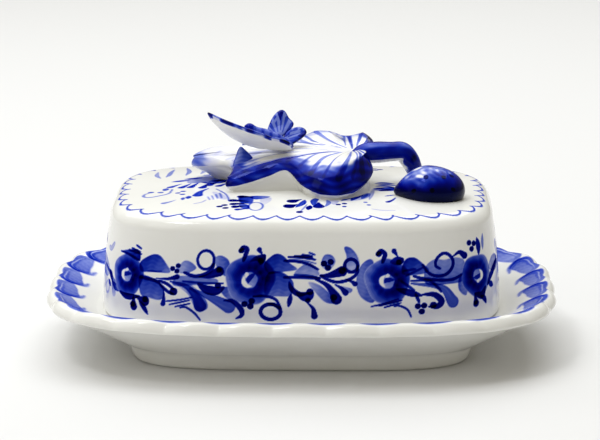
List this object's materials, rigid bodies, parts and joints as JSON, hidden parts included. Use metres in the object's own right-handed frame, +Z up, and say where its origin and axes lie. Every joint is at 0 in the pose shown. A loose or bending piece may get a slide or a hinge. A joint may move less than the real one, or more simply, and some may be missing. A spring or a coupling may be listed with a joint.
{
  "type": "lidded butter dish",
  "caption": "Footed porcelain butter dish with a scalloped rim and a lift-off lid that carries a leaf, a stem handle, a butterfly and a ladybug.",
  "frame": {"origin": "on the table, under the middle of the plate", "axes": "+X along the long side towards the ladybug, +Y towards the back, +Z up"},
  "size_m": [0.205, 0.1414, 0.0946],
  "materials": {
    "porcelain": "glossy clear glaze over white porcelain with cobalt brushwork",
    "painted_relief": "glossy clear glaze over pale cobalt brush strokes",
    "cobalt_glaze": "glossy clear glaze over deep cobalt blue"
  },
  "bodies": {
    "dish": {"plate": "porcelain"},
    "lid": {"lid_shell": "porcelain", "leaf": "painted_relief", "leaf_tip": "painted_relief", "stem_handle": "cobalt_glaze", "ladybug": "cobalt_glaze", "butterfly_body": "painted_relief", "butterfly_near_forewing": "painted_relief", "butterfly_near_hindwing": "painted_relief", "butterfly_far_forewing": "painted_relief", "butterfly_far_hindwing": "painted_relief"}
  },
  "joints": [
    {"name": "lid_lift", "type": "slide", "parent": "dish", "child": "lid", "axis": [0, 0, 1], "range_m": [0, 0.12]}
  ]
}
